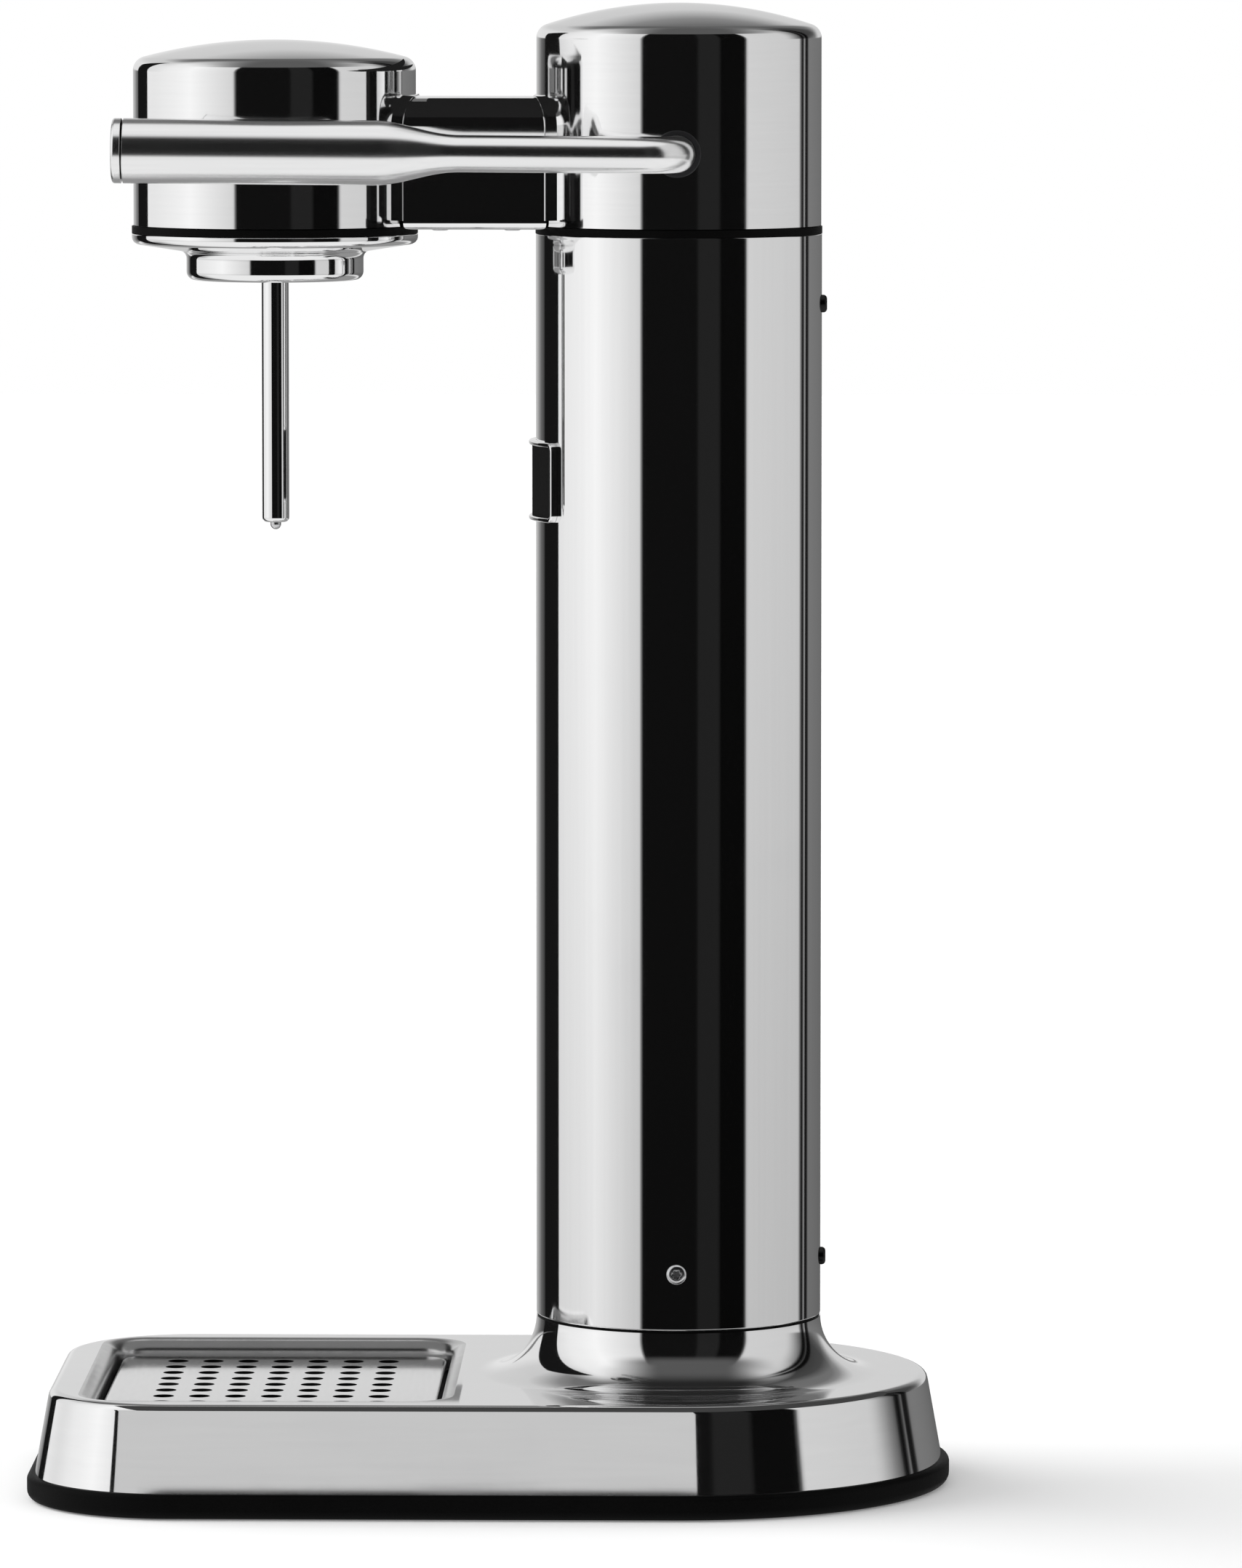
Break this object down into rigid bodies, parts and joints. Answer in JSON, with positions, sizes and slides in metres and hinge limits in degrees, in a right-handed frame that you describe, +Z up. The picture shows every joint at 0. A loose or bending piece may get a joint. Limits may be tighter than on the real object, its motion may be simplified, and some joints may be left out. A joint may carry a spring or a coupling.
{
  "type": "sparkling water maker",
  "caption": "Polished steel counter-top sparkling water maker: column with a cantilevered carbonating head, a side pull lever, and a base with a perforated drip plate.",
  "frame": {"origin": "centre of the footprint, on the table", "axes": "+Z up, front is -Y, the lever is on the +X side"},
  "size_m": [0.153, 0.258, 0.4158],
  "materials": {
    "polished_steel": "mirror polished stainless steel",
    "plate_steel": "satin stainless steel",
    "badge_metal": "polished rim, dark field",
    "black_rubber": "matte black rubber",
    "dark_plastic": "moulded black plastic",
    "steel_fittings": "turned steel",
    "brass_fittings": "turned brass",
    "cast_frame": "cast aluminium",
    "cylinder_paint": "grey paint"
  },
  "bodies": {
    "stand": {"base_shell": "polished_steel", "base_foot": "black_rubber", "base_plate": "dark_plastic", "floor_screws": "steel_fittings", "foot_gasket": "black_rubber", "column_tube": "polished_steel", "foot_ring": "dark_plastic", "side_screws": "steel_fittings", "rear_screws": "steel_fittings", "badge_plate": "badge_metal", "cylinder_guide": "dark_plastic", "gas_cylinder": "cylinder_paint", "cylinder_valve": "brass_fittings", "cylinder_seal": "black_rubber", "valve_frame": "cast_frame", "valve_block": "cast_frame", "shaft_yoke": "cast_frame", "lever_bush": "dark_plastic", "cap_gasket": "black_rubber", "upper_housing": "polished_steel", "arm_plate": "polished_steel", "arm_screws": "steel_fittings", "gas_hose": "black_rubber", "hose_fittings": "brass_fittings", "head_gasket": "black_rubber", "head_flange": "polished_steel", "bottle_collar": "polished_steel", "bottle_seal": "black_rubber", "nozzle_manifold": "dark_plastic", "carbonation_tube": "polished_steel", "nozzle_tip": "steel_fittings", "relief_cage": "brass_fittings"},
    "lever": {"lever_arm": "polished_steel", "lever_end_cap": "polished_steel", "lever_shaft": "steel_fittings", "lever_cam": "steel_fittings", "shaft_clip": "steel_fittings"},
    "plunger": {"valve_plunger": "steel_fittings", "valve_pin": "steel_fittings", "plunger_spring": "steel_fittings"},
    "drip_plate": {"drip_plate": "plate_steel"},
    "relief": {"relief_poppet": "steel_fittings", "relief_spring": "steel_fittings"}
  },
  "joints": [
    {"name": "lever_pull", "type": "hinge", "parent": "stand", "child": "lever", "pos_m": [0.04, 0.0525, 0.3747], "axis": [1, 0, 0], "range_deg": [0, 35], "stiffness_Nm_per_rad": 0.8, "springref_deg": -34.38},
    {"name": "plunger_press", "type": "slide", "parent": "stand", "child": "plunger", "axis": [0, 0, -1], "range_m": [0, 0.0031], "deforming": ["plunger_spring"]},
    {"name": "drip_plate_lift", "type": "slide", "parent": "stand", "child": "drip_plate", "axis": [0, 0, 1], "range_m": [0, 0.06]},
    {"name": "relief_lift", "type": "slide", "parent": "stand", "child": "relief", "axis": [0, 0, 1], "range_m": [0, 0.0015], "stiffness_N_per_m": 1500, "springref_m": -0.004, "deforming": ["relief_spring"]}
  ],
  "couplings": [
    {"joint": "plunger_press", "follows": "lever_pull", "m_per_rad": 0.0049226}
  ]
}
